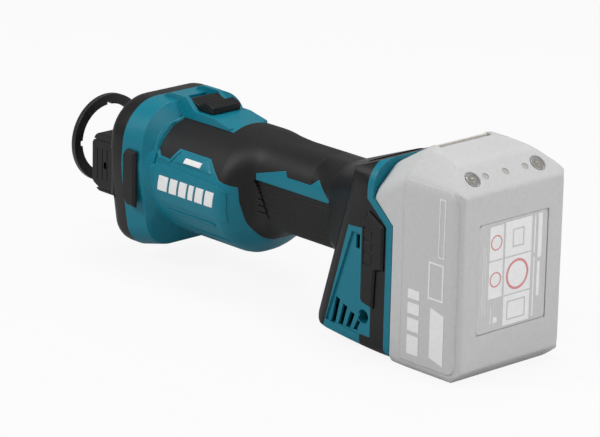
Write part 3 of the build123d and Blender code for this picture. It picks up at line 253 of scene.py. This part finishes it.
def mixed_colour(tree, share, first, second):
    """A colour mixed from first to second by a share; each is a colour or another node's socket."""
    mix = tree.nodes.new("ShaderNodeMix")
    mix.data_type = "RGBA"
    tree.links.new(share, mix.inputs["Factor"])
    for socket, value in ((mix.inputs[6], first), (mix.inputs[7], second)):
        if isinstance(value, tuple):
            socket.default_value = (*value, 1)
        else:
            tree.links.new(value, socket)
    return mix.outputs[2]


def ranged(tree, value, low, high):
    """A noise value spread from low to high."""
    node = tree.nodes.new("ShaderNodeMapRange")
    node.inputs["From Min"].default_value = 0.3
    node.inputs["From Max"].default_value = 0.7
    node.inputs["To Min"].default_value = low
    node.inputs["To Max"].default_value = high
    tree.links.new(value, node.inputs["Value"])
    return node.outputs["Result"]


def moulding(
    name, colour, worn_and_highlight_colour, roughness, grain, pits, depth, edge=0.0006, wear_and_highlight=0.5, metal=0.0, shine=0.5
):
    """A moulded or machined finish: mottled colour, uneven gloss, grain, and rounded edges mixed towards a
    lighter colour for rubbed wear and a painted highlight.
    """
    material = bpy.data.materials.new(name)
    material.use_nodes = True
    tree = material.node_tree
    finish = tree.nodes["Principled BSDF"]
    surface = placed_group(tree, moulded_grain, Scale=grain, Pits=pits)
    edges = placed_group(tree, edge_wear_and_highlight, Radius=edge)
    darker = tuple(channel * 0.86 for channel in colour)
    mottled = mixed_colour(tree, surface.outputs["Mottle"], darker, colour)
    # Edges are mixed towards the lighter edge colour: partly rubbed wear, partly a painted highlight.
    wear_and_highlight_share = arithmetic(tree, "MULTIPLY", edges.outputs["Wear_and_highlight"], wear_and_highlight)
    tree.links.new(mixed_colour(tree, wear_and_highlight_share, mottled, worn_and_highlight_colour), finish.inputs["Base Color"])
    tree.links.new(
        ranged(tree, surface.outputs["Smear"], roughness - 0.06, roughness + 0.06),
        finish.inputs["Roughness"],
    )
    finish.inputs["Metallic"].default_value = metal
    finish.inputs["Specular IOR Level"].default_value = shine
    relief = tree.nodes.new("ShaderNodeBump")
    relief.inputs["Strength"].default_value = 1.0
    relief.inputs["Distance"].default_value = depth
    tree.links.new(surface.outputs["Height"], relief.inputs["Height"])
    tree.links.new(edges.outputs["Normal"], relief.inputs["Normal"])
    tree.links.new(relief.outputs["Normal"], finish.inputs["Normal"])
    return material


nodes = frame["nodes"]
bodies = frame["record"]["behaviour"]["bodies"]
body_of = {node: body for body, members in bodies.items() for node in members}
weld_distance = 1e-6
crease = radians(32)


def shaped(node, material):
    """A copy of a CAD piece with its triangles joined, so that its curves shade smoothly."""
    mesh = nodes[node].data.copy()
    form = bmesh.new()
    form.from_mesh(mesh)
    bmesh.ops.remove_doubles(form, verts=form.verts, dist=weld_distance)
    form.to_mesh(mesh)
    form.free()
    if "custom_normal" in mesh.attributes:
        mesh.attributes.remove(mesh.attributes["custom_normal"])
    mesh.shade_smooth()
    mesh.set_sharp_from_angle(angle=crease)
    mesh.materials.clear()
    mesh.materials.append(material)
    piece = bpy.data.objects.new(node + "_skin", mesh)
    bpy.context.collection.objects.link(piece)
    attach(piece, body_of[node])
    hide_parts(node)
    return piece


teal = (0.003, 0.190, 0.268)
# The second colour is the lighter edge colour, for rubbed wear and a painted highlight.
teal_plastic = moulding("teal_plastic", teal, (0.05, 0.36, 0.48), 0.36, 2400.0, 0.5, 0.00002, shine=0.28)
housing_left = shaped("housing_left", teal_plastic)
housing_right = shaped("housing_right", teal_plastic)


# Raised panels on the barrel's sides: a framed field with a plain white bar mark, a small hexagonal
# plate above it and two drawn ribs below, all moulded in one with the casing.
def bare_piece(name, form, material, body):
    """A finished piece made from a bmesh, riding on a body."""
    mesh = bpy.data.meshes.new(name)
    form.to_mesh(mesh)
    form.free()
    mesh.materials.append(material)
    mesh.shade_smooth()
    mesh.set_sharp_from_angle(angle=crease)
    piece = bpy.data.objects.new(name, mesh)
    bpy.context.collection.objects.link(piece)
    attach(piece, body)
    return piece


def surface_tree(*skins):
    """The surface of some pieces, for laying others on it."""
    form = bmesh.new()
    for skin in skins:
        form.from_mesh(skin.data)
    tree = BVHTree.FromBMesh(form)
    form.free()
    return tree


def laid_on(name, outlines, side, surface, lift, material, body, rim=0.0, step=0.0025):
    """Thin plates cut to side-view outlines (x, z) and laid on the surface that faces a side.

    Side is the direction that the plates face: -Y, +Y or +X. On +X the outlines are read as (y, z).
    An outline is a list of points, or two loops of equal count, the outer and the inner, for a frame.
    """
    form = bmesh.new()
    facing = Vector(side)
    rear = abs(facing.x) > 0.5
    far = facing * 0.5

    def corners(loop):
        return [form.verts.new(far + (Vector((0, a, b)) if rear else Vector((a, 0, b)))) for a, b in loop]

    points = []
    for outline in outlines:
        if isinstance(outline, tuple):
            outer, inner = (corners(loop) for loop in outline)
            points += outline[0]
            for here in range(len(outer)):
                after = (here + 1) % len(outer)
                form.faces.new((outer[here], outer[after], inner[after], inner[here]))
        else:
            points += outline
            form.faces.new(corners(outline))
    for axis in range(2):
        values = [point[axis] for point in points]
        cut = min(values) + step
        normal = Vector((0, 0, 1)) if axis else (Vector((0, 1, 0)) if rear else Vector((1, 0, 0)))
        while cut < max(values):
            parts = form.verts[:] + form.edges[:] + form.faces[:]
            bmesh.ops.bisect_plane(form, geom=parts, plane_co=normal * cut, plane_no=normal)
            cut += step
    bmesh.ops.triangulate(form, faces=form.faces)
    skirt = bmesh.ops.extrude_face_region(form, geom=form.faces[:])["geom"]
    low = {item for item in skirt if isinstance(item, bmesh.types.BMVert)}
    for vertex in form.verts:
        hit, normal, _, _ = surface.ray_cast(vertex.co, -facing)
        if hit is None:
            hit, normal, _, _ = surface.find_nearest(vertex.co)
        vertex.co = hit + facing * (-0.0003 if vertex in low else lift)
    if rim:
        border = [
            edge
            for edge in form.edges
            if len(edge.link_faces) == 2
            and edge.calc_face_angle(0) > 0.9
            and edge.verts[0] not in low
            and edge.verts[1] not in low
        ]
        bmesh.ops.bevel(form, geom=border, offset=rim, segments=2, affect="EDGES", clamp_overlap=True)
    bmesh.ops.recalc_face_normals(form, faces=form.faces)
    return bare_piece(name, form, material, body)


white_print = moulding("white_print", (0.9, 0.9, 0.9), (0.8, 0.8, 0.8), 0.5, 900.0, 0.3, 0.000004, wear_and_highlight=0.2)
panel_outline = [
    (0.0492, 0.0099),
    (0.0462, 0.0072),
    (0.0476, -0.0086),
    (0.0525, -0.0108),
    (0.1032, -0.0113),
    (0.1030, 0.0052),
    (0.0980, 0.0078),
]
badge_outline = [(0.0600, 0.0128), (0.0640, 0.0178), (0.0858, 0.0178), (0.0920, 0.0124)]
grip_edge = [
    (0.0499, 0.0312),
    (0.0479, 0.0274),
    (0.0479, 0.0166),
    (0.0505, 0.0138),
    (0.0579, 0.0133),
    (0.0624, 0.0194),
]


def beside(points, gap, width):
    """A strip of a width, a gap away from a line of points, on the line's right as it is walked."""
    line = [Vector(point) for point in points]

    def moved(distance):
        shifted = []
        for index, point in enumerate(line):
            before = (point - line[max(index - 1, 0)]).normalized()
            after = (line[min(index + 1, len(line) - 1)] - point).normalized()
            along = (before + after).normalized()
            shifted.append(tuple(point + Vector((along.y, -along.x)) * distance))
        return shifted

    return moved(gap) + moved(gap + width)[::-1]


for side, housing, label in ((-1, housing_left, "left"), (1, housing_right, "right")):
    casing = surface_tree(housing)
    facing = (0, side, 0)
    ribs = [
        [(start, low), (end, low), (end - 0.0012, low + 0.0011), (start + 0.0012, low + 0.0011)]
        for low, start, end in ((-0.0155, 0.055, 0.094), (-0.0245, 0.0555, 0.0985))
    ]
    for name, outlines, lift, rim in (
        ("side_panel", [panel_outline], 0.0006, 0.0004),
        ("badge_plate", [badge_outline], 0.0004, 0.0003),
        ("barrel_ribs", ribs, 0.0005, 0.0),
        ("grip_lip", [beside(grip_edge, 0.0006, 0.0013)], 0.0005, 0.0003),
    ):
        laid_on(
            name + "_" + label, outlines, facing, casing, lift, teal_plastic, "housing",
            rim=rim,
        )
    slant = 0.0016
    bars = [
        [(start, -0.0044), (end, -0.0044), (end + slant, 0.0040), (start + slant, 0.0040)]
        for start, end in (
            (0.0515, 0.0590), (0.0606, 0.0665), (0.0681, 0.0740), (0.0756, 0.0795), (0.0811, 0.0870),
            (0.0886, 0.0950),
        )
    ]
    bars.append([(0.0690, 0.0136), (0.0820, 0.0136), (0.0828, 0.0162), (0.0698, 0.0162)])
    laid_on(
        "bar_marks_" + label, bars, facing, casing, 0.0008, white_print, "housing"
    )


# Soft grip: charcoal elastomer overmoulded on the shoulders, neck and handle, with a fine stipple.
# Its flat finger pads carry five raised ribs on each side.
grip_rubber = moulding(
    "grip_rubber", (0.0105, 0.0100, 0.0098), (0.04, 0.04, 0.04), 0.50, 1500.0, 1.2, 0.00005,
    wear_and_highlight=0.2, shine=0.30,
)
for node in ("grip_left", "grip_right"):
    shaped(node, grip_rubber)


def bar_row_tree():
    """Geometry nodes for a row of equal bars with rounded edges, along one line."""
    tree = bpy.data.node_groups.new("bar_row", "GeometryNodeTree")
    face = tree.interface
    face.new_socket("Geometry", in_out="INPUT", socket_type="NodeSocketGeometry")
    for socket, kind in (
        ("Count", "NodeSocketInt"),
        ("First", "NodeSocketVector"),
        ("Pitch", "NodeSocketVector"),
        ("Reach", "NodeSocketVector"),
        ("Width", "NodeSocketFloat"),
        ("Height", "NodeSocketFloat"),
        ("Rounding", "NodeSocketFloat"),
        ("Finish", "NodeSocketMaterial"),
    ):
        face.new_socket(socket, in_out="INPUT", socket_type=kind)
    face.new_socket("Geometry", in_out="OUTPUT", socket_type="NodeSocketGeometry")
    given = tree.nodes.new("NodeGroupInput")
    result = tree.nodes.new("NodeGroupOutput")
    line = tree.nodes.new("GeometryNodeMeshLine")
    tree.links.new(given.outputs["Count"], line.inputs["Count"])
    tree.links.new(given.outputs["First"], line.inputs["Start Location"])
    tree.links.new(given.outputs["Pitch"], line.inputs["Offset"])
    spine = tree.nodes.new("GeometryNodeCurvePrimitiveLine")
    tree.links.new(given.outputs["Reach"], spine.inputs["End"])
    section = tree.nodes.new("GeometryNodeCurvePrimitiveQuadrilateral")
    tree.links.new(given.outputs["Width"], section.inputs["Width"])
    tree.links.new(given.outputs["Height"], section.inputs["Height"])
    rounded = tree.nodes.new("GeometryNodeFilletCurve")
    tree.links.new(section.outputs["Curve"], rounded.inputs["Curve"])
    if "Mode" in rounded.inputs:
        rounded.inputs["Mode"].default_value = "Poly"
    else:
        rounded.mode = "POLY"
    rounded.inputs["Count"].default_value = 3
    tree.links.new(given.outputs["Rounding"], rounded.inputs["Radius"])
    bar = tree.nodes.new("GeometryNodeCurveToMesh")
    bar.inputs["Fill Caps"].default_value = True
    tree.links.new(spine.outputs["Curve"], bar.inputs["Curve"])
    tree.links.new(rounded.outputs["Curve"], bar.inputs["Profile Curve"])
    row = tree.nodes.new("GeometryNodeInstanceOnPoints")
    tree.links.new(line.outputs["Mesh"], row.inputs["Points"])
    tree.links.new(bar.outputs["Mesh"], row.inputs["Instance"])
    real = tree.nodes.new("GeometryNodeRealizeInstances")
    tree.links.new(row.outputs["Instances"], real.inputs["Geometry"])
    painted = tree.nodes.new("GeometryNodeSetMaterial")
    tree.links.new(real.outputs["Geometry"], painted.inputs["Geometry"])
    tree.links.new(given.outputs["Finish"], painted.inputs["Material"])
    tree.links.new(painted.outputs["Geometry"], result.inputs["Geometry"])
    return tree


bar_row = bar_row_tree()


def row_of_bars(name, body, slot, **sizes):
    """Bars from the bar_row tree, made a plain mesh."""
    seed = bpy.data.objects.new(name + "_seed", bpy.data.meshes.new(name + "_seed"))
    bpy.context.collection.objects.link(seed)
    modifier = seed.modifiers.new("bars", "NODES")
    modifier.node_group = bar_row
    sockets = {item.name: item.identifier for item in bar_row.interface.items_tree if item.in_out == "INPUT"}
    for socket, value in sizes.items():
        modifier[sockets[socket]] = value
    depsgraph = bpy.context.evaluated_depsgraph_get()
    mesh = bpy.data.meshes.new_from_object(seed.evaluated_get(depsgraph))
    bpy.data.objects.remove(seed)
    mesh.name = name
    piece = bpy.data.objects.new(name, mesh)
    bpy.context.collection.objects.link(piece)
    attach(piece, body)
    return piece


pad_face = 0.0191
for side, label in ((-1, "left"), (1, "right")):
    row_of_bars(
        "pad_ribs_" + label,
        "housing",
        "soft_grip",
        Count=5,
        First=(0.1213, side * (pad_face - 0.0002), -0.0042),
        Pitch=(-0.0014, 0, 0.00336),
        Reach=(0.0525, 0, 0),
        Width=0.0009,
        Height=0.0012,
        Rounding=0.0003,
        Finish=grip_rubber,
    )


# Rear covers, bearing box and small black mouldings: hard nylon, finely grained and a little glossy.
black_nylon = moulding(
    "black_nylon", (0.0075, 0.0075, 0.008), (0.06, 0.06, 0.06), 0.36, 2100.0, 0.7, 0.00003,
    wear_and_highlight=0.35, shine=0.30,
)
for node in ("rear_cover_left", "rear_cover_right", "bearing_box", "cam_lever", "lock_button"):
    shaped(node, black_nylon)
for node in ("filter_cover_left", "filter_cover_right", "switch_knob", "switch_rod", "switch_body"):
    shaped(node, black_nylon)
for node in ("cooling_fan", "baffle_plate", "terminal_block"):
    shaped(node, black_nylon)
bumper_rubber = moulding(
    "bumper_rubber", (0.013, 0.013, 0.013), (0.06, 0.06, 0.06), 0.50, 1500.0, 0.9, 0.00003,
    wear_and_highlight=0.3, shine=0.3,
)
for node in ("flank_bumper_left", "flank_bumper_right", "bearing_sleeve"):
    shaped(node, bumper_rubber)


# Steel and alloy pieces: ground spindle and collet, zinc-plated guide, black-oxide nut and screws.
def steel(name, colour, roughness, edge_wear_and_highlight_colour=(0.8, 0.8, 0.8)):
    """Turned or pressed metal with fine tool marks."""
    return moulding(name, colour, edge_wear_and_highlight_colour, roughness, 900.0, 0.3, 0.00001, wear_and_highlight=0.6, metal=1.0)


black_oxide = moulding(
    "black_oxide", (0.012, 0.012, 0.013), (0.14, 0.14, 0.14), 0.38, 1300.0, 0.4, 0.00001, wear_and_highlight=0.4, shine=0.5
)
zinc = steel("zinc_plate", (0.50, 0.48, 0.45), 0.40)
bright_steel = steel("bright_steel", (0.68, 0.68, 0.69), 0.24)
dark_steel = steel("dark_steel", (0.09, 0.09, 0.095), 0.36, (0.4, 0.4, 0.4))
cast_alloy = steel("cast_alloy", (0.5, 0.5, 0.52), 0.45)
lamination = steel("lamination", (0.3, 0.3, 0.31), 0.45)
copper_wire = steel("copper_wire", (0.62, 0.25, 0.11), 0.35)
nickel = steel("nickel", (0.66, 0.63, 0.57), 0.25)
lock_seat = (0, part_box("lock_spring")[0][1], 0)
switch_seat = (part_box("switch_spring")[0][0], 0, 0)
button_seat = (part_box("button_spring")[1][0], 0, 0)
spring_motion = {
    "lock_spring": ("spindle_lock_press", (0, 1, 0), lock_seat, 0.42),
    "switch_spring": ("switch_slide", (1, 0, 0), switch_seat, 0.52),
    "button_spring": ("battery_button_press", (1, 0, 0), button_seat, 0.15),
}
for node, metal in {
    "guide_foot": black_oxide,
    "guide_sleeve": cast_alloy,
    "guide_rivets": bright_steel,
    "collet": bright_steel,
    "collet_nut": dark_steel,
    "spindle": bright_steel,
    "front_bearing": bright_steel,
    "rear_bearing": bright_steel,
    "lever_pin": bright_steel,
    "lock_pin": bright_steel,
    "lock_spring": bright_steel,
    "switch_spring": bright_steel,
    "button_spring": bright_steel,
    "housing_screws": dark_steel,
    "nose_screws": dark_steel,
    "battery_screws": zinc,
    "stator_core": lamination,
    "rotor_core": lamination,
    "stator_coils": copper_wire,
    "controller": cast_alloy,
    "contact_blades": nickel,
    "contact_clips": nickel,
}.items():
    skin = shaped(node, metal)
    if node in spring_motion:
        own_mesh(skin)


# Boards, leads and cells: solder-masked boards, red silicone leads and shrink-wrapped cells.
board_mask = moulding("board_mask", (0.01, 0.11, 0.05), (0.1, 0.3, 0.15), 0.35, 1500.0, 0.3, 0.00001)
red_silicone = moulding("red_silicone", (0.3, 0.02, 0.015), (0.4, 0.1, 0.1), 0.5, 1500.0, 0.3, 0.00001)
cell_wrap = moulding("cell_wrap", (0.02, 0.16, 0.09), (0.1, 0.3, 0.2), 0.3, 700.0, 0.3, 0.00001)
for node, material in {
    "sensor_board": board_mask,
    "battery_board": board_mask,
    "motor_leads": red_silicone,
    "battery_cells": cell_wrap,
}.items():
    shaped(node, material)


# Battery: a two-part pale grey case with a fine texture, an off-white release button, a recessed
# rating plate and three charge lights. Its markings are plain printed bars and panels.
pack_grey = moulding(
    "pack_grey", (0.60, 0.60, 0.605), (0.66, 0.66, 0.66), 0.45, 2300.0, 0.6, 0.00002, wear_and_highlight=0.3
)
button_cream = moulding("button_cream", (0.80, 0.77, 0.71), (0.85, 0.85, 0.82), 0.4, 2000.0, 0.4, 0.00001)
plate_film = moulding("plate_film", (0.62, 0.62, 0.625), (0.55, 0.55, 0.55), 0.38, 600.0, 0.2, 0.000004)
lens_plastic = moulding("lens_plastic", (0.50, 0.48, 0.45), (0.6, 0.6, 0.6), 0.25, 900.0, 0.2, 0.000004)
red_print = moulding("red_print", (0.75, 0.30, 0.30), (0.8, 0.5, 0.5), 0.5, 900.0, 0.3, 0.000004, wear_and_highlight=0.2)
battery_cover = shaped("battery_cover", pack_grey)
battery_case = shaped("battery_case", pack_grey)
shaped("battery_button", button_cream)
rating_plate = shaped("rating_plate", plate_film)
shaped("charge_lights", lens_plastic)


def arc(centre, radius, start, end, steps):
    """Points on an arc, in degrees, both ends included."""
    turns = (radians(start + (end - start) * step / steps) for step in range(steps + 1))
    return [(centre[0] + radius * cos(turn), centre[1] + radius * sin(turn)) for turn in turns]


def box_outline(left, right, low, high):
    """An upright rectangle."""
    return [(left, low), (right, low), (right, high), (left, high)]


def leaning_block(left, right, low, high, lean):
    """A printed block whose ends slope by a rise."""
    return [(left, low), (right, low - lean), (right, high - lean), (left, high)]


def frame_of(outline, width):
    """A four-cornered outline with a smaller one inside it, an even width away."""
    middle = [sum(point[axis] for point in outline) / len(outline) for axis in range(2)]
    inner = [
        tuple(value + width * (1 if value < centre else -1) for value, centre in zip(point, middle))
        for point in outline
    ]
    return (outline, inner)


case_panel = (
    [(0.2412, -0.0470), (0.2735, -0.0470)]
    + arc((0.2735, -0.0430), 0.0040, -90, 0, 4)
    + arc((0.2700, 0.0390), 0.0075, 0, 90, 6)
    + [(0.2412, 0.0465)]
)
case_marks = [
    leaning_block(0.2454, 0.2536, low, high, 0.0)
    for low, high in ((-0.0430, -0.0330), (-0.0310, -0.0240), (-0.0220, -0.0160), (-0.0140, -0.0090))
]
case_marks.append(leaning_block(0.2612, 0.2708, -0.0414, -0.0150, 0.0027))
case_marks.append(frame_of(leaning_block(0.2592, 0.2698, -0.0110, 0.0085, 0.0), 0.0011))
case_marks.append(frame_of(box_outline(0.2655, 0.2698, 0.0115, 0.0420), 0.0007))
for side, label in ((-1, "left"), (1, "right")):
    case_surface = surface_tree(battery_case)
    laid_on(
        "case_panel_" + label, [case_panel], (0, side, 0), case_surface, 0.0005, pack_grey, "battery",
        rim=0.0004,
    )
    laid_on(
        "case_marks_" + label, case_marks, (0, side, 0), case_surface, 0.00065, white_print, "battery",
    )

plate_fields = [
    box_outline(-0.0168, -0.0070, low, high) for low, high in ((0.0088, 0.0265), (-0.0110, 0.0082))
]
plate_fields += [
    box_outline(-0.0058, 0.0131, low, high)
    for low, high in ((0.0088, 0.0270), (-0.0110, 0.0082), (-0.0270, -0.0116))
]
plate_bars = [
    box_outline(left, left + width, low, high)
    for left, width, low, high in (
        (0.0148, 0.0011, -0.0262, 0.0050),
        (0.0148, 0.0011, 0.0070, 0.0268),
        (0.0176, 0.0030, 0.0040, 0.0272),
        (0.0176, 0.0022, -0.0160, 0.0020),
        (-0.0213, 0.0005, -0.0200, 0.0190),
        (-0.0203, 0.0005, -0.0170, 0.0165),
        (-0.0193, 0.0005, -0.0190, 0.0120),
        (-0.0150, 0.0007, -0.0240, -0.0150),
        (-0.0128, 0.0030, -0.0240, -0.0210),
    )
]
plate_surface = surface_tree(rating_plate)
laid_on(
    "plate_fields", plate_fields + plate_bars, (1, 0, 0), plate_surface, 0.0001, white_print, "battery",
)
rings = [
    (arc(centre, radius, 0, 345, 23), arc(centre, radius - width, 0, 345, 23))
    for centre, radius, width in (
        ((-0.0119, 0.0177), 0.0040, 0.0007),
        ((-0.0119, -0.0014), 0.0040, 0.0007),
        ((0.0036, -0.0014), 0.0080, 0.0013),
    )
]
laid_on(
    "plate_rings", rings, (1, 0, 0), plate_surface, 0.00018, red_print, "battery", step=0.01
)
pictures = [
    frame_of(box_outline(-0.0004, 0.0076, 0.0130, 0.0225), 0.0006),
    frame_of(box_outline(-0.0030, 0.0100, -0.0245, -0.0145), 0.0006),
]
laid_on(
    "plate_pictures", pictures, (1, 0, 0), plate_surface, 0.00018, plate_film, "battery",
    step=0.01,
)
